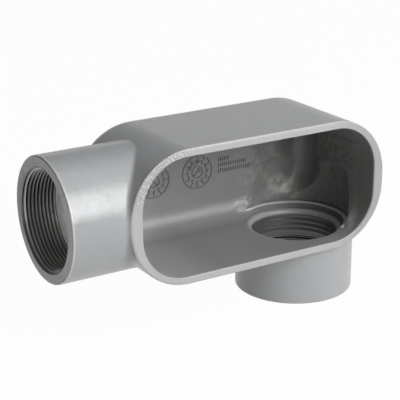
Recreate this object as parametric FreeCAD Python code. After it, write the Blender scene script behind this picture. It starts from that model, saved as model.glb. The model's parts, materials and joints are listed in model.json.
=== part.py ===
import FreeCAD, Part
import math
import os

# Conduit body, LR pattern, for 2 inch taper-threaded conduit. One casting, one solid.
# Millimetres. +Z is up and -Y is the side the wiring opening faces.
# The origin is the centre of the side hub's mouth. The side hub points down (-Z),
# the end hub points along -X, and the body's rear is on +Y.

V = FreeCAD.Vector

# Thread and the wall round it: both hubs are alike, and most other sizes follow from these
THREAD_DIAMETER = 60.2   # root of the thread, left plain here
HUB_WALL = 6.05          # from the thread's root to the outside
HUB_PROJECTION = 33.8    # how far a hub stands out from the body

# Body. It stands a little outside the hubs on every side.
BODY_LENGTH = 171.3      # along X
SIDE_MARGIN = 3.25       # long walls outside the hubs
FRONT_MARGIN = 2.45      # rim face in front of the hubs
REAR_MARGIN = 0.95       # flat rear behind the hubs
END_MARGIN = 0.85        # right-hand end outside the side hub
END_FLAT = 6.4           # straight middle of each rounded end
REAR_ROUND = 12.6        # outside radius round the rear edge

# Walls and the opening
END_WALL = 6.8           # thick ends, which a cover's clamps bear on
LONG_WALL = 4.5          # top and bottom walls
REAR_WALL = 4.8
OPENING_END_FLAT = 14.2  # straight middle of each end of the opening
FLOOR_ROUND = 12.3       # inside radius round the rear of the chamber

# Passage through each hub, from its mouth inward
MOUTH_LEAD = 0.3         # 45 degree lead-in before the thread
THREAD_DEPTH = 20.5
SHOULDER_STEP = 2.5      # from the thread's root in to the shoulder that closes it
SHOULDER_RUN = 5.5       # length of the shoulder's curve
THROAT_STEP = 1.3        # from the shoulder in to the smooth throat
THROAT_LIP = 2.6         # rounded lip where the throat meets the chamber

# Seat round each throat, inside the chamber
SEAT_RING = 3.9          # width of the low ring round the throat
SEAT_HEIGHT = 3.8        # from the chamber wall to the ledge over the ring
SEAT_LIP = 1.5           # rounded edge of that ledge
POCKET_WALL = 2.75       # hub metal left outside the round pocket over the ledge
POCKET_REACH = 28.2      # from the chamber wall to where the pocket starts to round over
POCKET_ROUND = 8.0       # rounded corner at the pocket's far end

# Edge finish
JOIN_ROUND = 3.0         # hollow where a hub grows out of the body
RIM_OUTER_ROUND = 1.2
RIM_INNER_ROUND = 0.5
MOUTH_ROUND = 1.2

# Sizes and positions that follow from those above
HUB_R = THREAD_DIAMETER / 2 + HUB_WALL
BODY_HEIGHT = 2 * (HUB_R + SIDE_MARGIN)
BODY_CORNER = (BODY_HEIGHT - END_FLAT) / 2
OPENING_HEIGHT = BODY_HEIGHT - 2 * LONG_WALL
OPENING_CORNER = (OPENING_HEIGHT - OPENING_END_FLAT) / 2
RIM_Y = -HUB_R - FRONT_MARGIN
REAR_Y = HUB_R + REAR_MARGIN
CENTRE_Z = BODY_HEIGHT / 2 + HUB_PROJECTION
RIGHT_X = HUB_R + END_MARGIN
LEFT_X = RIGHT_X - BODY_LENGTH
END_MOUTH_X = LEFT_X - HUB_PROJECTION
SPARE = 12.0             # stock left in front of the rim until the face is cut


def rounded_prism(x0, x1, z0, z1, radius, y0, y1):
    """Solid with a rounded-rectangle outline in XZ, carried along Y from y0 to y1."""
    k = radius * (1 - math.sqrt(0.5))
    corners = [
        (x1, z0 + radius, x1 - k, z0 + k, x1 - radius, z0),
        (x0 + radius, z0, x0 + k, z0 + k, x0, z0 + radius),
        (x0, z1 - radius, x0 + k, z1 - k, x0 + radius, z1),
        (x1 - radius, z1, x1 - k, z1 - k, x1, z1 - radius),
    ]
    edges = []
    for i, (ax, az, mx, mz, bx, bz) in enumerate(corners):
        edges.append(Part.Arc(V(ax, y0, az), V(mx, y0, mz), V(bx, y0, bz)).toShape())
        nx, nz = corners[(i + 1) % 4][:2]
        edges.append(Part.makeLine(V(bx, y0, bz), V(nx, y0, nz)))
    face = Part.Face(Part.Wire(edges))
    return face.extrude(V(0, y1 - y0, 0))


def edges_on_plane_y(shape, y):
    """Edges that lie wholly in the plane at this y."""
    found = []
    for edge in shape.Edges:
        box = edge.BoundBox
        if abs(box.YMin - y) < 1e-4 and abs(box.YMax - y) < 1e-4:
            found.append(edge)
    return found


def outer_body():
    """The body's outside as a rounded block, its rear edge rounded, with spare stock in front."""
    block = rounded_prism(LEFT_X, RIGHT_X, CENTRE_Z - BODY_HEIGHT / 2, CENTRE_Z + BODY_HEIGHT / 2,
                          BODY_CORNER, RIM_Y - SPARE, REAR_Y)
    return block.makeFillet(REAR_ROUND, edges_on_plane_y(block, REAR_Y))


def hub_cylinders():
    """The two hubs as plain cylinders that run into the middle of the body."""
    end = Part.makeCylinder(HUB_R, BODY_LENGTH / 2 + HUB_PROJECTION, V(END_MOUTH_X, 0, CENTRE_Z), V(1, 0, 0))
    side = Part.makeCylinder(HUB_R, CENTRE_Z, V(0, 0, 0), V(0, 0, 1))
    return end, side


def join_edges(shape, block, end, side):
    """Edges where a hub's wall meets the body's outside."""
    found = []
    for edge in shape.Edges:
        if edge.Length < 1e-3:
            continue
        mid = edge.valueAt((edge.FirstParameter + edge.LastParameter) / 2)
        probe = Part.Vertex(mid)
        on_block = block.Shells[0].distToShape(probe)[0] < 1e-3
        for hub in (end, side):
            on_wall = hub.Faces[0].distToShape(probe)[0] < 1e-3
            if on_block and on_wall:
                found.append(edge)
    return found


def outside():
    """Body and hubs as one solid, the joins hollowed, cut flat at the rim face."""
    block = outer_body()
    end, side = hub_cylinders()
    solid = block.fuse([end, side])
    solid = solid.makeFillet(JOIN_ROUND, join_edges(solid, block, end, side))
    front = Part.makeBox(600, SPARE * 2, 400, V(-400, RIM_Y - SPARE * 2, -100))
    return solid.cut(front)


def chamber():
    """The wiring chamber: the opening's outline carried to the rear wall, rounded at the rear."""
    space = rounded_prism(LEFT_X + END_WALL, RIGHT_X - END_WALL,
                          CENTRE_Z - BODY_HEIGHT / 2 + LONG_WALL, CENTRE_Z + BODY_HEIGHT / 2 - LONG_WALL,
                          OPENING_CORNER, RIM_Y - 1, REAR_Y - REAR_WALL)
    return space.makeFillet(FLOOR_ROUND, edges_on_plane_y(space, REAR_Y - REAR_WALL))


def arc_through(a, centre, b, radius):
    """Short arc from a to b about the given centre, points as (distance along the axis, radius)."""
    mx = (a[0] + b[0]) / 2 - centre[0]
    my = (a[1] + b[1]) / 2 - centre[1]
    scale = radius / math.hypot(mx, my)
    mid = V(centre[0] + mx * scale, centre[1] + my * scale, 0)
    return Part.Arc(V(a[0], a[1], 0), mid, V(b[0], b[1], 0)).toShape()


def passage(wall):
    """Everything cut out along one hub, about the X axis, from the mouth at x=0 inward.
    wall is the distance from the mouth to the chamber's flat wall."""
    thread_r = THREAD_DIAMETER / 2
    mouth_r = thread_r + MOUTH_LEAD
    shoulder_r = thread_r - SHOULDER_STEP
    throat_r = shoulder_r - THROAT_STEP
    seat_r = throat_r + SEAT_RING
    pocket_r = HUB_R - POCKET_WALL
    ledge = wall + SEAT_HEIGHT
    reach = wall + POCKET_REACH
    throat_start = THREAD_DEPTH + SHOULDER_RUN
    bell = (SHOULDER_RUN ** 2 + THROAT_STEP ** 2) / (2 * THROAT_STEP)   # radius of the shoulder's curve
    line_sets = [
        [(-1, 0), (-1, mouth_r), (0, mouth_r), (MOUTH_LEAD, thread_r), (THREAD_DEPTH, thread_r),
         (THREAD_DEPTH, shoulder_r)],
        [(throat_start, throat_r), (wall - THROAT_LIP, throat_r)],
        [(wall, throat_r + THROAT_LIP), (wall, seat_r), (ledge - SEAT_LIP, seat_r)],
        [(ledge, seat_r + SEAT_LIP), (ledge, pocket_r), (reach, pocket_r)],
        [(reach + POCKET_ROUND, pocket_r - POCKET_ROUND), (reach + POCKET_ROUND, 0), (-1, 0)],
    ]
    arcs = [
        ((throat_start, throat_r + bell), bell),
        ((wall - THROAT_LIP, throat_r + THROAT_LIP), THROAT_LIP),
        ((ledge - SEAT_LIP, seat_r + SEAT_LIP), SEAT_LIP),
        ((reach, pocket_r - POCKET_ROUND), POCKET_ROUND),
    ]
    edges = []
    for i, points in enumerate(line_sets):
        for a, b in zip(points, points[1:]):
            edges.append(Part.makeLine(V(a[0], a[1], 0), V(b[0], b[1], 0)))
        if i < len(arcs):
            centre, radius = arcs[i]
            edges.append(arc_through(points[-1], centre, line_sets[i + 1][0], radius))
    face = Part.Face(Part.Wire(edges))
    return face.revolve(V(0, 0, 0), V(1, 0, 0), 360)


def passages():
    """The two hub passages in place."""
    end = passage(HUB_PROJECTION + END_WALL)
    end.translate(V(END_MOUTH_X, 0, CENTRE_Z))
    side = passage(HUB_PROJECTION + LONG_WALL)
    side.rotate(V(0, 0, 0), V(0, 1, 0), -90)
    return end, side


def rim_edges(shape, inner):
    """Edges of the rim face: those of the opening, or the outer ones."""
    half = BODY_HEIGHT / 2 - LONG_WALL / 2
    left = LEFT_X + END_WALL / 2
    right = RIGHT_X - END_WALL / 2
    found = []
    for edge in edges_on_plane_y(shape, RIM_Y):
        box = edge.BoundBox
        cx = (box.XMin + box.XMax) / 2
        within = box.XMin > left - 1e-3 and box.XMax < right + 1e-3
        within = within and box.ZMin > CENTRE_Z - half and box.ZMax < CENTRE_Z + half
        if within == inner:
            found.append(edge)
    return found


def mouth_edges(shape):
    """The outer edge of each hub's mouth."""
    found = []
    for edge in shape.Edges:
        curve = edge.Curve
        if curve.TypeId != "Part::GeomCircle" or abs(curve.Radius - HUB_R) > 1e-4:
            continue
        box = edge.BoundBox
        at_end = abs(box.XMin - END_MOUTH_X) < 1e-3 and abs(box.XMax - END_MOUTH_X) < 1e-3
        at_side = abs(box.ZMin) < 1e-3 and abs(box.ZMax) < 1e-3
        if at_end or at_side:
            found.append(edge)
    return found


def casting():
    """The whole conduit body."""
    solid = outside()
    solid = solid.makeFillet(MOUTH_ROUND, mouth_edges(solid))
    solid = solid.makeFillet(RIM_OUTER_ROUND, rim_edges(solid, False))
    end, side = passages()
    solid = solid.cut([chamber(), end, side])
    solid = solid.makeFillet(RIM_INNER_ROUND, rim_edges(solid, True))
    return solid


os.makedirs("parts", exist_ok=True)
body = casting()
if body.ShapeType == "Compound" and len(body.Solids) == 1:
    body = body.Solids[0]
body.exportStep("parts/body.step")
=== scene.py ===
import json
import math

import bmesh
import bpy
import numpy as np
from mathutils import Matrix, Vector


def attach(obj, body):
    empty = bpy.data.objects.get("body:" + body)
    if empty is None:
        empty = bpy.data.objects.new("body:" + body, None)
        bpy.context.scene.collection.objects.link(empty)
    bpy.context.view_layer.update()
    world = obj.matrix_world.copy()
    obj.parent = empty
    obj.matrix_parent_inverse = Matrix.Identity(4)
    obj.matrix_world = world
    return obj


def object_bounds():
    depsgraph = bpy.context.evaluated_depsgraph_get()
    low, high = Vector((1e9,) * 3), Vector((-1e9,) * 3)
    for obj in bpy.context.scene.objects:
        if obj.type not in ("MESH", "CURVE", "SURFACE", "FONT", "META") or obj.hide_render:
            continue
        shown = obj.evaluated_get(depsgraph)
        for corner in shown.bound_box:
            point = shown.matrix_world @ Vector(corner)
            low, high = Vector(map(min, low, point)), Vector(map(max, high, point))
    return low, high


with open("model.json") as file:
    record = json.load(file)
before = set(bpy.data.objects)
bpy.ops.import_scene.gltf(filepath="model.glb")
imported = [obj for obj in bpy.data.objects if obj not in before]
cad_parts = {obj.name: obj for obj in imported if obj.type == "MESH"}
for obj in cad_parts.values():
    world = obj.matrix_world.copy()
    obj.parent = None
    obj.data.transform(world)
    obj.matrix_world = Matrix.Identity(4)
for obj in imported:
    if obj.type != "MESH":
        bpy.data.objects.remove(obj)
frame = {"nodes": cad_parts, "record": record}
CAD_BOX = [list(corner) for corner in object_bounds()]
MOUNTS = {mount["name"]: mount for mount in frame["record"]["mounts"]}
MM = 0.001

# Camera: the spot it aims at and its distance from it, metres; the way it looks; its lens, mm
AIM = Vector((-0.0918, -0.0386, 0.0823))
AZIMUTH = math.radians(-31.578)
ELEVATION = math.radians(19.226)
ROLL = math.radians(-0.189)
DISTANCE = 0.6971
LENS = 114.67
SENSOR = 36

# Lamps: name, azimuth and elevation in degrees, width and height as degrees seen from the aim point,
# radiance, distance in metres
LAMPS = (
    ("key", 18, 31, 30, 42, 7.4, 2.2),
    ("front_fill", -2, 20, 22, 16, 2.8, 2.2),
    ("overhead", 10, 78, 56, 56, 0.95, 1.2),
    ("rear", 155, 11, 70, 16, 0.8, 1.6),
)
WORLD_STRENGTH = 0.05
FLOOR_WHITE_SHARE = 0.97
FLOOR_HALF = 6.0
FLOOR_GAP = 0.0003

# Faces that meet at more than this stay sharp
SHARP_ANGLE = math.radians(40)

# Taper thread, mm: sizes of the 2 inch trade size. Depths run from the hub's mouth. At its inner end the
# sleeve steps in to the radius SHOULDER, and its back lies at the radius BURIED, inside the casting.
PITCH = 2.209
THREAD_HEIGHT = 0.8 * PITCH
FLAT_SHARE = 0.02
ROOT_RADIUS = 30.04
TAPER = 1 / 32
COUNTERSINK = 30.38
THREAD_START = 0.01
THREAD_END = 20.5
SHOULDER = 27.6
BURIED = 30.6
TURN_STEPS = 192

# Casting, metres: middle and half size of the opening in X and Z, its corner, the rim's plane, the inner
# rear wall, the end hub's mouth
CHAMBER_MID = (-0.04865, 0.0732)
CHAMBER_HALF = (0.07885, 0.0349)
CHAMBER_CORNER = 0.0278
RIM_Y = -0.0386
REAR_FACE = 0.0323
MOUTH_X = -0.1681

# Foundry marks raised on the inner rear wall, mm, placed by X and Z. A bead has a half width and a height,
# and a pointer an angle in degrees.
MONTH_DIAL = np.array((-50.0, 71.6))
YEAR_DIAL = np.array((-80.5, 70.8))
DIAL_RADIUS = 10.4
DIAL_BEAD = (0.46, 0.6)
MONTH_POINTER = 40
YEAR_POINTER = 130
TALLY_CORNER = (-34.5, 76.4)
TALLY_COUNTS = (6, 15, 17)
TALLY_STROKE = 1.9
TALLY_GAP = 1.4
TALLY_BEAD = (0.32, 0.5)

# Space between a bead's sections, how far it looks each way along its line, how deep its foot is sunk, mm
BEAD_STEP = 0.25
BEAD_SIGHT = 0.05
BEAD_FOOT = 0.3

# Strokes of plain numerals on a cell 1 wide and 2 tall, each a line of corners
NUMERALS = {
    "0": [[(0.3, 0), (0, 0.4), (0, 1.6), (0.3, 2), (0.7, 2), (1, 1.6), (1, 0.4), (0.7, 0), (0.3, 0)]],
    "1": [[(0.2, 1.6), (0.6, 2), (0.6, 0)]],
    "2": [[(0, 1.6), (0.3, 2), (0.7, 2), (1, 1.6), (1, 1.2), (0, 0), (1, 0)]],
    "3": [[(0, 1.8), (0.3, 2), (0.7, 2), (1, 1.6), (0.7, 1.1), (0.4, 1.1)],
          [(0.7, 1.1), (1, 0.6), (0.7, 0), (0.3, 0), (0, 0.3)]],
    "4": [[(0.8, 0), (0.8, 2), (0, 0.6), (1.1, 0.6)]],
    "5": [[(1, 2), (0.1, 2), (0, 1.1), (0.6, 1.3), (1, 0.8), (0.7, 0), (0.3, 0), (0, 0.3)]],
    "6": [[(0.8, 2), (0.2, 1.4), (0, 0.6), (0.3, 0), (0.7, 0), (1, 0.5), (0.7, 1), (0.2, 0.9)]],
    "7": [[(0, 2), (1, 2), (0.4, 0)]],
    "8": [[(0.5, 1.1), (0.1, 1.5), (0.3, 2), (0.7, 2), (0.9, 1.5), (0.5, 1.1), (0.05, 0.6), (0.3, 0),
           (0.7, 0), (0.95, 0.6), (0.5, 1.1)]],
    "9": [[(0.2, 0), (0.8, 0.6), (1, 1.4), (0.7, 2), (0.3, 2), (0, 1.5), (0.3, 1), (0.8, 1.1)]],
}

# Where a finish starts and where it is full, metres: along the axis named, out from a hub's axis (RADIUS),
# out from the opening's outline (SKIN), or up or down from the end hub's middle
PASSAGE_RADIUS = (0.0346, 0.0343)
CHAMBER_SKIN = (0.0007, 0.0003)
CHAMBER_FRONT_Y = (RIM_Y + 0.0006, RIM_Y + 0.0013)
CHAMBER_REAR_Y = (REAR_FACE + 0.0009, REAR_FACE + 0.0005)
END_PASSAGE_X = ((MOUTH_X + 0.0001, MOUTH_X + 0.0004), (-0.084, -0.086))
SIDE_PASSAGE_Z = ((0.0001, 0.0004), (0.080, 0.078))
FACED_Y = (RIM_Y + 0.0004, RIM_Y + 0.0001)
RIM_EDGE_Y = (RIM_Y + 0.0014, RIM_Y + 0.0006)
END_CUT_X = (MOUTH_X + 0.0005, MOUTH_X + 0.0002)
SIDE_CUT_Z = (0.0005, 0.0002)
FLANK_X = (-0.150, -0.160)
FLANK_OFF_MIDDLE = (0.032, 0.012)
FLANK_REAR_Y = (0.005, 0.020)
FLANK_FRONT_Y = (-0.005, -0.020)
POCKET_RADIUS = (0.040, 0.034)
POCKET_X = (0.026, 0.018)
END_BORE_RADIUS = (0.0300, 0.0296)
END_BORE_X = (-0.126, -0.128)
THROAT_RADIUS = (0.0285, 0.0280)
THROAT_Z = (0.036, 0.034)
FAR_INSIDE_X = (0.004, 0.030)
NEAR_INSIDE_X = (-0.070, -0.105)
ROUGH_ARC_X = (-0.085, -0.115)
ROUGH_ARC_Z = (0.080, 0.090)
# Where the painted shade on the rim's right starts and is full
RIM_RIGHT_SHADE_X = (-0.01, 0.03)
HUB_SWELL_X = (-0.125, -0.160)
CREST_RADIUS = (0.0298, 0.0284)
END_LEAD_X = (MOUTH_X + 0.0014, MOUTH_X + 0.0008)
SIDE_LEAD_Z = (0.0014, 0.0008)
END_THREAD_X = (-0.12, -0.13)
LOW_THREAD_Z = (CHAMBER_MID[1] + 0.012, CHAMBER_MID[1] - 0.008)
MARK_FOOT_Y = (REAR_FACE - 0.00045, REAR_FACE - 0.0002)

# Bands of finish, metres: from, to
MOUTH_EDGE_X = (MOUTH_X + 0.0006, MOUTH_X + 0.0011)
LEDGE_RADIUS = (0.0302, 0.0330)
LEDGE_Z = (0.0417, 0.0426)
LIP_RADIUS = (0.0262, 0.0288)
LIP_Z = (0.0356, 0.0384)
POCKET_Z = (0.044, 0.090)

# Painted highlight on the rear wall over the side throat: its middle, and the distances from it at which it
# starts and is full, metres
REAR_WALL_HIGHLIGHT_SPOT = (0.010, 0.031, 0.0535)
REAR_WALL_HIGHLIGHT_REACH = (0.0095, 0.004)

# Distance from one faint tool ring to the next in the side throat, metres
THROAT_RING_STEP = 0.0034

# Colours
COAT = (0.345, 0.351, 0.358)
# Painted shade: the chamber and both passages darker than the outside coat
INSIDE_SHADED_GREY = (0.236, 0.235, 0.233)
# Painted shade: the right part of the inside, where the end wall shadows it
FAR_INSIDE_PAINTED_SHADE = (0.15, 0.147, 0.142)
# Painted light: the left part of the inside lighter
NEAR_INSIDE_PAINTED_LIGHT = (0.33, 0.329, 0.325)
# Painted light: mottled lit patches in the side pocket, left of its shaded part
POCKET_PAINTED_LIGHT = (0.30, 0.29, 0.27)
# Painted shade: the deep hole of the side throat
THROAT_PAINTED_SHADE = (0.075, 0.075, 0.075)
# Painted highlight on the rear wall over the side throat
REAR_WALL_PAINTED_HIGHLIGHT = (0.46, 0.45, 0.43)
# Painted light: the end passage's smooth bore lightened
BORE_PAINTED_LIGHT = (0.62, 0.617, 0.607)
# Blotches in the end bore, made lighter still as painted light
BORE_BLOTCH_PAINTED_LIGHT = (0.78, 0.78, 0.77)
# Painted highlight on the ledge round the side throat
LEDGE_PAINTED_HIGHLIGHT = (0.64, 0.636, 0.63)
# Painted highlight on the rounded lip of the side throat
LIP_PAINTED_HIGHLIGHT = (0.37, 0.367, 0.362)
# Painted highlight along the rim's outer rounding
RIM_EDGE_PAINTED_HIGHLIGHT = (0.58, 0.585, 0.59)
# Painted highlight on the end mouth's rounded edge
MOUTH_EDGE_PAINTED_HIGHLIGHT = (0.56, 0.565, 0.57)
FACED_METAL = (0.41, 0.414, 0.418)
# Painted shade: the faced rim darker to the right
RIM_RIGHT_PAINTED_SHADE = (0.335, 0.338, 0.342)
# Painted glints: bright specks on the rim's rough upper-left arc
GLINT = (0.72, 0.72, 0.72)
CUT_METAL = (0.225, 0.227, 0.228)
# Painted shade on the rear flanks of the end hub's ring
REAR_FLANK_PAINTED_SHADE = (0.085, 0.087, 0.086)
# Painted light on the front flanks of the end hub's ring
FRONT_FLANK_PAINTED_LIGHT = (0.36, 0.363, 0.365)
# Thread roots black: dirt, and painted shade in the grooves
ROOT_DIRT_AND_SHADE = (0.035, 0.034, 0.033)
# Painted light on the roots low in the end hub
LOW_ROOT_PAINTED_LIGHT = (0.16, 0.157, 0.153)
THREAD_GREY = (0.42, 0.415, 0.405)
# Painted light on the crests low in the end hub
LOW_CREST_PAINTED_LIGHT = (0.64, 0.635, 0.62)
LEAD_METAL = (0.22, 0.217, 0.213)
# Dirt and painted shade along the feet of the raised marks
MARK_FOOT_DIRT_AND_SHADE = (0.03, 0.029, 0.028)
FLOOR_GREY = (0.7, 0.7, 0.7)


# ---------------------------------------------------------------- mesh helpers

def mesh_object(name, points, faces):
    """A piece from points in metres and a list of faces, doubles merged and normals outward."""
    mesh = bpy.data.meshes.new(name)
    mesh.from_pydata(np.asarray(points).reshape(-1, 3).tolist(), [], faces)
    bm = bmesh.new()
    bm.from_mesh(mesh)
    bmesh.ops.remove_doubles(bm, verts=bm.verts, dist=1e-7)
    bmesh.ops.dissolve_degenerate(bm, edges=bm.edges, dist=1e-8)
    bmesh.ops.recalc_face_normals(bm, faces=bm.faces)
    bm.to_mesh(mesh)
    bm.free()
    mesh.set_sharp_from_angle(angle=SHARP_ANGLE)
    mesh.polygons.foreach_set("use_smooth", np.ones(len(mesh.polygons), bool))
    piece = bpy.data.objects.new(name, mesh)
    bpy.context.scene.collection.objects.link(piece)
    return piece


def grid_faces(rows, cols, close_cols=False):
    """Quads of a grid of points stored row by row; close_cols joins the last column to the first."""
    r = np.arange(rows - 1)[:, None] * cols
    c = np.arange(cols if close_cols else cols - 1)
    n = (c + 1) % cols
    quads = np.stack([r + c, r + n, r + cols + n, r + cols + c], axis=-1)
    return quads.reshape(-1, 4).tolist()


def placed(points_mm, origin, outward):
    """Carry points given as (across, across, depth into the hub) to a hub whose mouth centre and outward
    direction are known."""
    z = -np.asarray(outward, float)
    x = np.array([0.0, 1.0, 0.0])
    y = np.cross(z, x)
    return np.asarray(origin) + (points_mm @ np.stack([x, y, z])) * MM


# ---------------------------------------------------------------- thread

def thread_radius(depth, phase):
    """Wall radius at a depth and a place across one pitch: a 60 degree V with narrow flats at crest and
    root, on a cone that narrows 1 in 32 of radius, opened at the mouth by a 45 degree countersink."""
    rise = np.clip((np.abs(phase - 0.5) - FLAT_SHARE) / (0.5 - 2 * FLAT_SHARE), 0, 1)
    wall = ROOT_RADIUS - TAPER * depth - THREAD_HEIGHT * rise
    return np.maximum(wall, COUNTERSINK - depth)


def thread_sleeve(name, face_mount):
    """One hub's thread: a grid sheared along the helix, so that crest and root are grid lines, closed
    behind by a wall buried in the casting."""
    across = np.array([0, 0.02, 0.1, 0.2, 0.3, 0.4, 0.48, 0.52, 0.6, 0.7, 0.8, 0.9, 0.98])
    turns = int(THREAD_END / PITCH) + 3
    lines = (np.arange(-1, turns - 1)[:, None] + across).ravel()
    angle = np.linspace(0, 2 * math.pi, TURN_STEPS + 1)[:, None]
    depth = (lines + angle / (2 * math.pi)) * PITCH
    inside = np.clip(depth, THREAD_START, THREAD_END - THREAD_START)
    phase = np.mod(np.mod(lines, 1.0) + (inside - depth) / PITCH, 1.0)
    radius = thread_radius(inside, phase)
    ends = np.ones_like(angle)
    depth = np.hstack([THREAD_START * ends, inside, THREAD_END * ends, THREAD_END * ends,
                       THREAD_START * ends])
    radius = np.hstack([BURIED * ends, radius, SHOULDER * ends, BURIED * ends, BURIED * ends])
    points = np.stack([radius * np.cos(angle), radius * np.sin(angle), depth], axis=-1)
    mount = MOUNTS[face_mount]
    points = placed(points, mount["pos_m"], mount["axis"])
    return mesh_object(name, points, grid_faces(*depth.shape))


# ---------------------------------------------------------------- foundry marks

def is_closed(line):
    """True for a line that ends where it starts."""
    return np.allclose(line[0], line[-1])


def along_line(line, along, at):
    """Points on a line of corners at lengths along it, where along is each corner's own length."""
    return np.stack([np.interp(at, along, line[:, axis]) for axis in (0, 1)], axis=1)


def ridge(line, half_width, height):
    """A raised bead along a flat line of (x, z) in mm on the rear wall. Its section is half an ellipse whose
    open side is sunk in the wall. On an open line the section shrinks to a point over one half width beyond
    both ends, and on a closed line the last section lies on the first."""
    line = np.asarray(line, float)
    along = np.concatenate([[0], np.cumsum(np.hypot(*np.diff(line, axis=0).T))])
    length = along[-1]
    at = np.linspace(0, length, max(2, int(length / BEAD_STEP)) + 1)
    if is_closed(line):
        ahead = np.mod(at + BEAD_SIGHT, length)
        behind = np.mod(at - BEAD_SIGHT, length)
        held = at
    else:
        cap = half_width * np.array([-1, -0.92, -0.7, -0.38])
        at = np.concatenate([cap, at, length - cap[::-1]])
        held = np.clip(at, 0, length)
        ahead = np.clip(held + BEAD_SIGHT, 0, length)
        behind = np.clip(held - BEAD_SIGHT, 0, length)
    way = along_line(line, along, ahead) - along_line(line, along, behind)
    way /= np.hypot(way[:, 0], way[:, 1])[:, None]
    side = np.stack([-way[:, 1], way[:, 0]], axis=1)
    beyond = at - held
    centre = along_line(line, along, held) + way * beyond[:, None]
    size = np.sqrt(np.clip(1 - (np.abs(beyond) / half_width) ** 2, 1e-6, 1))
    turn = np.linspace(0, math.pi, 7)
    across = np.concatenate([np.cos(turn), [-0.9, 0.9]]) * half_width
    proud = np.concatenate([np.sin(turn) * height, [-BEAD_FOOT, -BEAD_FOOT]])
    spot = centre[:, None, :] + side[:, None, :] * (size[:, None] * across)[..., None]
    rise = np.where(proud > 0, proud * size[:, None], proud)
    return np.stack([spot[..., 0], REAR_FACE / MM - rise, spot[..., 1]], axis=-1)


def marks_object(name, lines, half_width, height):
    """One piece from many beads; an open bead is capped at both ends, and a closed one meets itself."""
    points = []
    faces = []
    base = 0
    for line in lines:
        grid = ridge(line, half_width, height)
        rows, cols = grid.shape[:2]
        points.append(grid.reshape(-1, 3) * MM)
        faces += [[base + k for k in face] for face in grid_faces(rows, cols, close_cols=True)]
        if not is_closed(line):
            faces.append([base + k for k in range(cols)])
            faces.append([base + (rows - 1) * cols + k for k in range(cols)])
        base += rows * cols
    return mesh_object(name, np.concatenate(points), faces)


def ring_line(centre, radius, count):
    """A full circle of corners."""
    turn = np.linspace(0, 2 * math.pi, count + 1)
    return np.stack([centre[0] + radius * np.cos(turn), centre[1] + radius * np.sin(turn)], axis=1)


def numeral_lines(text, centre, tall):
    """Strokes of a plain number, centred at a point: each cell is half as wide as it is tall, with half a
    cell between."""
    cell = tall / 2
    lines = []
    for k, digit in enumerate(text):
        left = centre[0] + (k - len(text) / 2) * cell * 1.5 + cell * 0.25
        for stroke in NUMERALS[digit]:
            lines.append([(left + x * cell, centre[1] + (z - 1) * cell) for x, z in stroke])
    return lines


def dial_lines(centre, pointer):
    """A cast date dial: two rings, a tick and a number at each of twelve places, and an arrow at the middle
    that points at an angle. Its parts are shares of the dial's radius."""
    radius = DIAL_RADIUS
    lines = [ring_line(centre, radius, 72), ring_line(centre, radius * 0.36, 36)]
    for k in range(12):
        turn = math.radians(90 - 30 * k)
        out = np.array([math.cos(turn), math.sin(turn)])
        lines.append([centre + out * radius * 0.86, centre + out * radius])
        lines += numeral_lines(str(k or 12), centre + out * radius * 0.66, radius * 0.2)
    turn = math.radians(pointer)
    out = np.array([math.cos(turn), math.sin(turn)])
    side = np.array([-out[1], out[0]]) * radius * 0.12
    tip = centre + out * radius * 0.28
    barb = tip - out * radius * 0.14
    lines.append([centre - out * radius * 0.26, tip])
    lines.append([barb + side, tip, barb - side])
    return lines


def tally_lines():
    """Rows of short upright strokes, as a moulder's tally."""
    lines = []
    for row, count in enumerate(TALLY_COUNTS):
        z = TALLY_CORNER[1] - row * (TALLY_STROKE + TALLY_GAP * 1.3)
        for k in range(count):
            x = TALLY_CORNER[0] + k * TALLY_GAP
            lines.append([(x, z), (x, z + TALLY_STROKE)])
    return lines


# ---------------------------------------------------------------- materials

class Field:
    """A number over a surface, held as a node output, with the arithmetic and shaping a finish needs."""

    def __init__(self, tree, socket):
        self.tree = tree
        self.socket = socket

    def math(self, operation, *others):
        node = self.tree.nodes.new("ShaderNodeMath")
        node.operation = operation
        for entry, value in zip(node.inputs, (self,) + others):
            if isinstance(value, Field):
                self.tree.links.new(value.socket, entry)
            else:
                entry.default_value = value
        return Field(self.tree, node.outputs[0])

    def __add__(self, other):
        return self.math("ADD", other)

    def __sub__(self, other):
        return self.math("SUBTRACT", other)

    def __mul__(self, other):
        return self.math("MULTIPLY", other)

    def size(self):
        """The number without its sign."""
        return self.math("ABSOLUTE")

    def least(self, other):
        return self.math("MINIMUM", other)

    def most(self, other):
        return self.math("MAXIMUM", other)

    def ramp(self, start, full):
        """0 up to start and 1 from full, eased between; full may be the smaller."""
        node = self.tree.nodes.new("ShaderNodeMapRange")
        node.interpolation_type = "SMOOTHSTEP"
        self.tree.links.new(self.socket, node.inputs["Value"])
        node.inputs["From Min"].default_value = start
        node.inputs["From Max"].default_value = full
        return Field(self.tree, node.outputs["Result"])

    def band(self, low, high, fade=0.0002):
        """1 between low and high, eased over a short fade outside them."""
        return self.ramp(low - fade, low) * self.ramp(high + fade, high)


def distance(*offsets):
    """Root of the sum of the squares of offsets along two or three axes."""
    total = offsets[0] * offsets[0]
    for offset in offsets[1:]:
        total = total + offset * offset
    return total.math("SQRT")


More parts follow.
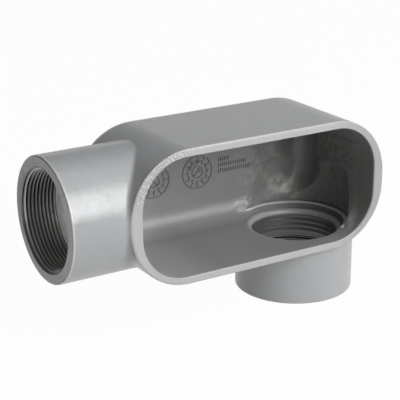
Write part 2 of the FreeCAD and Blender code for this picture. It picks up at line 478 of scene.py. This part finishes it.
class Finish:
    """A material being made: its shader, the place on the piece in metres, and patterns over that place."""

    def __init__(self, name):
        self.material = bpy.data.materials.new(name)
        self.material.use_nodes = True
        self.tree = self.material.node_tree
        self.shader = self.tree.nodes["Principled BSDF"]
        self.place = self.tree.nodes.new("ShaderNodeTexCoord").outputs["Object"]
        split = self.tree.nodes.new("ShaderNodeSeparateXYZ")
        self.tree.links.new(self.place, split.inputs[0])
        self.x, self.y, self.z = (Field(self.tree, out) for out in split.outputs)

    def off_end_axis(self):
        """Distance from the end hub's axis."""
        return distance(self.y, self.z - CHAMBER_MID[1])

    def off_side_axis(self):
        """Distance from the side hub's axis."""
        return distance(self.x, self.y)

    def stretched(self, scale):
        node = self.tree.nodes.new("ShaderNodeMapping")
        node.inputs["Scale"].default_value = scale
        self.tree.links.new(self.place, node.inputs["Vector"])
        return node.outputs["Vector"]

    def noise(self, size, detail=3.0, rough=0.5, stretch=None):
        """Cloudy pattern from 0 to 1 whose patches are about this many metres across."""
        node = self.tree.nodes.new("ShaderNodeTexNoise")
        node.inputs["Scale"].default_value = 1 / size
        node.inputs["Detail"].default_value = detail
        node.inputs["Roughness"].default_value = rough
        self.tree.links.new(self.stretched(stretch) if stretch else self.place, node.inputs["Vector"])
        return Field(self.tree, node.outputs["Fac"])

    def colour(self, ground, *layers):
        """Blend of colours: the ground, then (share, colour) layers laid over it in turn."""
        node = self.tree.nodes.new("ShaderNodeRGB")
        node.outputs[0].default_value = (*ground, 1)
        current = node.outputs[0]
        for share, shade in layers:
            node = self.tree.nodes.new("ShaderNodeMix")
            node.data_type = "RGBA"
            self.tree.links.new(share.socket, node.inputs["Factor"])
            self.tree.links.new(current, node.inputs["A"])
            node.inputs["B"].default_value = (*shade, 1)
            current = node.outputs["Result"]
        return current

    def paint(self, colour, amount):
        """Give the shader a colour made darker or lighter by a field around 1."""
        node = self.tree.nodes.new("ShaderNodeVectorMath")
        node.operation = "SCALE"
        self.tree.links.new(colour, node.inputs[0])
        self.tree.links.new(amount.socket, node.inputs["Scale"])
        self.tree.links.new(node.outputs[0], self.shader.inputs["Base Color"])

    def roughness(self, amount):
        self.tree.links.new(amount.socket, self.shader.inputs["Roughness"])

    def relief(self, *layers):
        """Bumps from (height field, depth in metres) layers, one over another."""
        normal = None
        for height, depth in layers:
            node = self.tree.nodes.new("ShaderNodeBump")
            node.inputs["Distance"].default_value = depth
            self.tree.links.new(height.socket, node.inputs["Height"])
            if normal is not None:
                self.tree.links.new(normal, node.inputs["Normal"])
            normal = node.outputs["Normal"]
        self.tree.links.new(normal, self.shader.inputs["Normal"])


def inside_chamber(finish):
    """1 on the chamber's walls and in both passages, 0 on the outside: within the opening's rounded outline
    and in front of the rear wall, or near a hub's axis."""
    across = ((finish.x - CHAMBER_MID[0]).size() - (CHAMBER_HALF[0] - CHAMBER_CORNER)).most(0.0)
    upward = ((finish.z - CHAMBER_MID[1]).size() - (CHAMBER_HALF[1] - CHAMBER_CORNER)).most(0.0)
    in_outline = (distance(across, upward) - CHAMBER_CORNER).ramp(*CHAMBER_SKIN)
    chamber = in_outline * (finish.y.ramp(*CHAMBER_FRONT_Y) * finish.y.ramp(*CHAMBER_REAR_Y))
    for off_axis, along, ends in ((finish.off_end_axis(), finish.x, END_PASSAGE_X),
                                  (finish.off_side_axis(), finish.z, SIDE_PASSAGE_Z)):
        mouth_end, inner_end = ends
        passage = off_axis.ramp(*PASSAGE_RADIUS) * along.ramp(*mouth_end) * along.ramp(*inner_end)
        chamber = chamber.most(passage)
    return chamber


def casting_paint():
    """Satin silver-grey coat on a fine casting. Inside it is darker as painted shade, deeper to the right and
    in the side throat, with painted light to the left. The faced rim is rubbed bright; painted highlights lie
    on its edge, the end mouth's edge, the ledge and lip round the side throat, in patches in the pocket and
    on the rear wall over the throat, and the end passage is lightened as painted light over its blotches. It
    is bare and darker where the hub mouths are cut. The rim has a rough arc at its upper left with painted
    glints and painted shade to its right, and the side throat faint tool rings. The end hub's ring has
    painted shade to the rear and painted light to the front."""
    finish = Finish("casting_paint")
    clouds = finish.noise(0.03)
    sand = finish.noise(0.0011, rough=0.6)
    swell = finish.noise(0.007, 2.0)
    lumps = finish.noise(0.011, 4.0, 0.6)
    cuts = finish.noise(0.0016, 4.0, 0.7, (0.25, 1.0, 1.0))
    off_side = finish.off_side_axis()

    inside = inside_chamber(finish)
    outside = inside.math("MULTIPLY", -1.0) + 1.0
    # mask of the painted shade at the inside's right
    far_inside_shade = finish.x.ramp(*FAR_INSIDE_X) * inside
    # mask of the painted light at the inside's left
    near_inside_light = inside * finish.x.ramp(*NEAR_INSIDE_X)
    pocket = off_side.ramp(*POCKET_RADIUS) * finish.z.band(*POCKET_Z, 0.004) * inside
    pocket_light_patch = pocket * lumps.ramp(0.50, 0.62) * finish.x.ramp(*POCKET_X)
    throat = off_side.ramp(*THROAT_RADIUS) * finish.z.ramp(*THROAT_Z)
    rings = (finish.z * (2 * math.pi / THROAT_RING_STEP)).math("SINE")
    to_spot = [axis - at for axis, at in zip((finish.x, finish.y, finish.z), REAR_WALL_HIGHLIGHT_SPOT)]
    rear_wall_highlight = distance(*to_spot).ramp(*REAR_WALL_HIGHLIGHT_REACH) * lumps.ramp(0.36, 0.56) * inside
    bore = finish.off_end_axis().ramp(*END_BORE_RADIUS) * finish.x.ramp(*END_BORE_X)
    ledge = off_side.band(*LEDGE_RADIUS) * finish.z.band(*LEDGE_Z)
    lip = off_side.band(*LIP_RADIUS) * finish.z.band(*LIP_Z)

    faced = finish.y.ramp(*FACED_Y)
    rim_edge = finish.y.ramp(*RIM_EDGE_Y) * outside
    rough_arc = faced.most(rim_edge) * finish.x.ramp(*ROUGH_ARC_X) * finish.z.ramp(*ROUGH_ARC_Z)
    mouth_edge = finish.x.band(*MOUTH_EDGE_X, 0.0004) * outside
    cut = finish.x.ramp(*END_CUT_X).most(finish.z.ramp(*SIDE_CUT_Z))
    # flanks of the end hub's ring, where painted shade and painted light go
    flank_shading = (finish.z - CHAMBER_MID[1]).size().ramp(*FLANK_OFF_MIDDLE) * finish.x.ramp(*FLANK_X)

    colour = finish.colour(
        COAT,
        # painted shade over the whole inside
        (inside, INSIDE_SHADED_GREY),
        # painted shade to the right of the inside
        (far_inside_shade, FAR_INSIDE_PAINTED_SHADE),
        # painted light to the left of the inside
        (near_inside_light, NEAR_INSIDE_PAINTED_LIGHT),
        # painted light in patches in the pocket
        (pocket_light_patch, POCKET_PAINTED_LIGHT),
        # painted shade down the side throat
        (throat * inside, THROAT_PAINTED_SHADE),
        # painted highlight on the rear wall
        (rear_wall_highlight, REAR_WALL_PAINTED_HIGHLIGHT),
        # painted light in the end bore, and on its blotches
        (bore, BORE_PAINTED_LIGHT),
        (bore * lumps.ramp(0.40, 0.60), BORE_BLOTCH_PAINTED_LIGHT),
        # painted highlight on the ledge
        (ledge, LEDGE_PAINTED_HIGHLIGHT),
        # painted highlight on the lip
        (lip, LIP_PAINTED_HIGHLIGHT),
        # painted highlight on the rim's edge
        (rim_edge, RIM_EDGE_PAINTED_HIGHLIGHT),
        # painted highlight on the end mouth's edge
        (mouth_edge, MOUTH_EDGE_PAINTED_HIGHLIGHT),
        (faced, FACED_METAL),
        # painted shade on the rim's right
        (faced * finish.x.ramp(*RIM_RIGHT_SHADE_X), RIM_RIGHT_PAINTED_SHADE),
        # painted glints on the rough arc
        (rough_arc * sand.ramp(0.52, 0.62), GLINT),
        (cut, CUT_METAL),
        # painted shade to the rear, painted light to the front of the ring
        (cut * flank_shading * finish.y.ramp(*FLANK_REAR_Y), REAR_FLANK_PAINTED_SHADE),
        (cut * flank_shading * finish.y.ramp(*FLANK_FRONT_Y), FRONT_FLANK_PAINTED_LIGHT),
    )
    finish.paint(colour, clouds * 0.16 + sand * 0.08 + 0.88)
    finish.shader.inputs["Specular IOR Level"].default_value = 0.95
    finish.roughness(clouds * 0.06 + 0.28 + inside * 0.12 + faced * 0.02)
    finish.relief(
        (swell, 0.0002),
        (sand, 0.00004),
        (lumps * pocket, 0.0022),
        (cuts * faced, 0.0001),
        (sand * rough_arc, 0.0012),
        (rings * throat, 0.00012),
        (swell * finish.x.ramp(*HUB_SWELL_X) * outside, 0.00015),
    )
    return finish.material


def thread_metal():
    """Cut thread: bare metal, rubbed at the crests, black in the roots with dirt and painted shade, lighter
    low in the end hub as painted light, and plain on the lead at each mouth."""
    finish = Finish("thread_metal")
    off_end = finish.off_end_axis() + (finish.x - MOUTH_X) * TAPER
    off_side = finish.off_side_axis() + finish.z * TAPER
    crest = off_end.least(off_side).ramp(*CREST_RADIUS)
    lead = finish.x.ramp(*END_LEAD_X).most(finish.z.ramp(*SIDE_LEAD_Z))
    # lower half of the end hub's thread, where painted light goes
    low_end_light = finish.x.ramp(*END_THREAD_X) * finish.z.ramp(*LOW_THREAD_Z)
    marks = finish.noise(0.0006, rough=0.6)
    stain = finish.noise(0.012)
    colour = finish.colour(
        # roots: dirt and painted shade
        ROOT_DIRT_AND_SHADE,
        # painted light low in the end hub, on roots and then crests
        (low_end_light, LOW_ROOT_PAINTED_LIGHT),
        (crest, THREAD_GREY),
        (crest * low_end_light, LOW_CREST_PAINTED_LIGHT),
        (lead, LEAD_METAL),
    )
    finish.paint(colour, stain * 0.5 + 0.75)
    finish.shader.inputs["Metallic"].default_value = 0.5
    finish.roughness(stain * 0.2 + 0.25)
    finish.relief((marks, 0.00003))
    return finish.material


def mark_paint():
    """The coat over raised marks, in the inside's painted-shade grey, with dirt and painted shade along their
    feet.
    """
    finish = Finish("mark_paint")
    grain = finish.noise(0.0011, rough=0.6)
    # dirt and painted shade at the marks' feet
    colour = finish.colour(INSIDE_SHADED_GREY, (finish.y.ramp(*MARK_FOOT_Y), MARK_FOOT_DIRT_AND_SHADE))
    finish.paint(colour, grain * 0.3 + 0.85)
    finish.roughness(grain * 0.2 + 0.35)
    finish.relief((grain, 0.00006))
    return finish.material


def floor_white():
    """Pale floor that keeps the object's shadow: to the camera and in gloss most of it is plain white. It has
    one side, so that the object can be seen from below."""
    material = bpy.data.materials.new("floor_white")
    material.use_nodes = True
    tree = material.node_tree
    shader = tree.nodes["Principled BSDF"]
    shader.inputs["Base Color"].default_value = (*FLOOR_GREY, 1)
    shader.inputs["Roughness"].default_value = 0.9
    shader.inputs["Specular IOR Level"].default_value = 0.0
    ray = tree.nodes.new("ShaderNodeLightPath").outputs
    seen = Field(tree, ray["Is Camera Ray"]).most(Field(tree, ray["Is Glossy Ray"]))
    seen = seen.most(Field(tree, ray["Is Transmission Ray"])) * FLOOR_WHITE_SHARE
    below = Field(tree, tree.nodes.new("ShaderNodeNewGeometry").outputs["Backfacing"])
    surface = shader.outputs[0]
    for share, kind in ((seen, "ShaderNodeEmission"), (below, "ShaderNodeBsdfTransparent")):
        mix = tree.nodes.new("ShaderNodeMixShader")
        tree.links.new(share.socket, mix.inputs["Fac"])
        tree.links.new(surface, mix.inputs[1])
        tree.links.new(tree.nodes.new(kind).outputs[0], mix.inputs[2])
        surface = mix.outputs[0]
    tree.links.new(surface, tree.nodes["Material Output"].inputs["Surface"])
    return material


# ---------------------------------------------------------------- stage

def toward(around, above):
    """Unit direction out from the aim point at an azimuth (0 in front, + to the right) and an elevation."""
    return Vector((math.sin(around) * math.cos(above), -math.cos(around) * math.cos(above), math.sin(above)))


def soft_light(name, azimuth, elevation, wide, tall, radiance, away):
    """A rectangular area lamp in a direction from the aim point, away metres off, which covers wide by tall
    degrees. A lamp's energy is its radiance times pi times its area."""
    data = bpy.data.lights.new(name, "AREA")
    data.shape = "RECTANGLE"
    data.size = 2 * away * math.tan(math.radians(wide / 2))
    data.size_y = 2 * away * math.tan(math.radians(tall / 2))
    data.energy = radiance * math.pi * data.size * data.size_y
    lamp = bpy.data.objects.new(name, data)
    direction = toward(math.radians(azimuth), math.radians(elevation))
    lamp.location = AIM + direction * away
    lamp.rotation_euler = direction.to_track_quat("Z", "Y").to_euler()
    bpy.context.scene.collection.objects.link(lamp)


def world_light():
    """Faint even light from all round, which the camera sees as white."""
    world = bpy.data.worlds.new("studio")
    world.use_nodes = True
    bpy.context.scene.world = world
    tree = world.node_tree
    background = tree.nodes["Background"]
    background.inputs["Color"].default_value = (1, 1, 1, 1)
    seen = Field(tree, tree.nodes.new("ShaderNodeLightPath").outputs["Is Camera Ray"])
    tree.links.new(seen.most(WORLD_STRENGTH).socket, background.inputs["Strength"])


def camera():
    """Camera from its azimuth and elevation about the aim point, turned by its roll."""
    back = toward(AZIMUTH, ELEVATION)
    level = Vector((math.cos(AZIMUTH), math.sin(AZIMUTH), 0))
    upright = back.cross(level)
    right = level * math.cos(ROLL) + upright * math.sin(ROLL)
    up = upright * math.cos(ROLL) - level * math.sin(ROLL)
    data = bpy.data.cameras.new("camera")
    data.lens = LENS
    data.sensor_width = SENSOR
    data.clip_start = 0.01
    view = bpy.data.objects.new("camera", data)
    turned = Matrix((right, up, back)).transposed().to_4x4()
    view.matrix_world = Matrix.Translation(AIM + back * DISTANCE) @ turned
    bpy.context.scene.collection.objects.link(view)
    bpy.context.scene.camera = view


def floor():
    """A wide square just under the object, facing up."""
    z = CAD_BOX[0][2] - FLOOR_GAP
    corners = [(x * FLOOR_HALF, y * FLOOR_HALF, z) for x, y in ((-1, -1), (1, -1), (1, 1), (-1, 1))]
    mesh = bpy.data.meshes.new("floor")
    mesh.from_pydata(corners, [], [(0, 1, 2, 3)])
    plane = bpy.data.objects.new("floor", mesh)
    bpy.context.scene.collection.objects.link(plane)
    mesh.materials.append(floor_white())


# ---------------------------------------------------------------- build

def finish_piece(piece, material):
    """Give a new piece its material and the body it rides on."""
    piece.data.materials.append(material)
    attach(piece, "root")


camera()
floor()
world_light()
for lamp in LAMPS:
    soft_light(*lamp)

paint = casting_paint()
for spot in frame["nodes"]["body"].material_slots:
    spot.material = paint

thread = thread_metal()
finish_piece(thread_sleeve("side_thread", "side_hub_face"), thread)
finish_piece(thread_sleeve("end_thread", "end_hub_face"), thread)

marks = mark_paint()
finish_piece(marks_object("month_dial", dial_lines(MONTH_DIAL, MONTH_POINTER), *DIAL_BEAD), marks)
finish_piece(marks_object("year_dial", dial_lines(YEAR_DIAL, YEAR_POINTER), *DIAL_BEAD), marks)
finish_piece(marks_object("tally", tally_lines(), *TALLY_BEAD), marks)

bpy.context.scene.view_settings.view_transform = "Standard"
bpy.context.view_layer.update()
